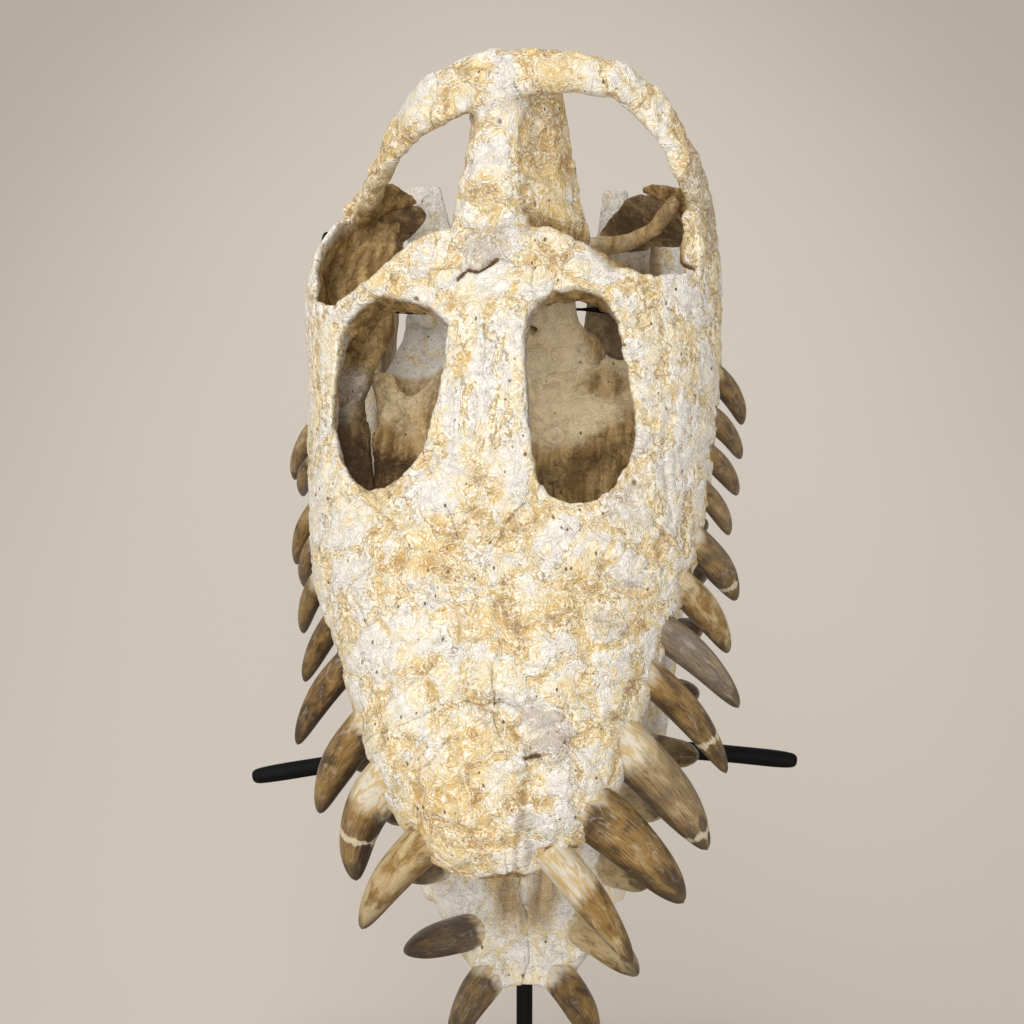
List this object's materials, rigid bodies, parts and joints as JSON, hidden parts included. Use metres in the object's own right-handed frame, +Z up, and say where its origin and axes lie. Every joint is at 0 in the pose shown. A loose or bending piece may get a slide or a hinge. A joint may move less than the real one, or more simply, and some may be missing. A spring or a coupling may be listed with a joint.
{
  "type": "fossil plesiosaur skull",
  "caption": "Long-snouted marine reptile fossil skull with fanged jaws gaping, eye sockets and arched rear openings, held nose-down on a black rod stand.",
  "frame": {"origin": "on the floor under the middle of the part's box", "axes": "+Z up along the stand, the snout points to -Y and down, +X is the animal's left-to-right as seen from the front"},
  "size_m": [0.3, 0.3601, 0.6335],
  "materials": {
    "bone": "matte fossil bone, cream to ochre with grey patches",
    "inner_bone": "matte fossil bone, brown and streaked",
    "jaw_bone": "matte fossil bone, off-white and pitted",
    "tooth": "glossy brown enamel with fine lengthwise grooves",
    "black_metal": "satin black"
  },
  "bodies": {
    "root": {"palate": "inner_bone", "frontal": "bone", "premaxilla_left": "bone", "premaxilla_right": "bone", "maxilla_left": "bone", "maxilla_right": "bone", "jugal_left": "bone", "jugal_right": "bone", "parietal": "bone", "postorbital_left": "bone", "postorbital_right": "bone", "quadrate_left": "bone", "quadrate_right": "bone", "squamosal_left": "bone", "squamosal_right": "bone", "braincase": "inner_bone", "pterygoid_left": "inner_bone", "pterygoid_right": "inner_bone", "mandible_left": "jaw_bone", "mandible_right": "jaw_bone", "stand_base": "black_metal", "stand_post": "black_metal", "stand_jaw_rod": "black_metal", "stand_arm": "black_metal", "stand_cradle": "black_metal"}
  },
  "joints": []
}
